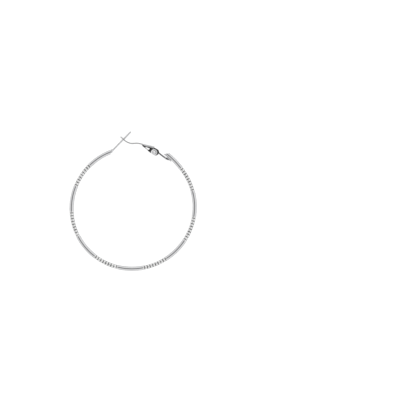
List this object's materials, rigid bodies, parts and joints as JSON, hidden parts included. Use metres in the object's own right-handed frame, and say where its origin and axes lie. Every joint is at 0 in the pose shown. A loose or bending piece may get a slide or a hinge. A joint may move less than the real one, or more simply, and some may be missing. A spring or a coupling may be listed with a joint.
{
  "type": "hoop earring",
  "caption": "Round wire hoop earring with ribbed sections, a straight ear post and a forked lever that snaps over it.",
  "frame": {"origin": "middle of the underside of the whole box, with the hoop lying on its side", "axes": "+Z along the hinge rivet and out of the plane of the hoop; +Y across the hoop towards the clasp; +X from the ear post's end towards the hinge's end"},
  "size_m": [0.0604, 0.0662, 0.0029],
  "materials": {
    "plated_wire": "polished",
    "plated_sheet": "polished",
    "rivet_metal": "satin"
  },
  "bodies": {
    "hoop_body": {"hoop": "plated_wire"},
    "lever_body": {"lever": "plated_sheet", "rivet": "rivet_metal"}
  },
  "joints": [
    {"name": "lever_hinge", "type": "hinge", "parent": "hoop_body", "child": "lever_body", "pos_m": [0.00994, 0.02302, 0.00145], "axis": [0, 0, -1], "range_deg": [0, 70]}
  ]
}
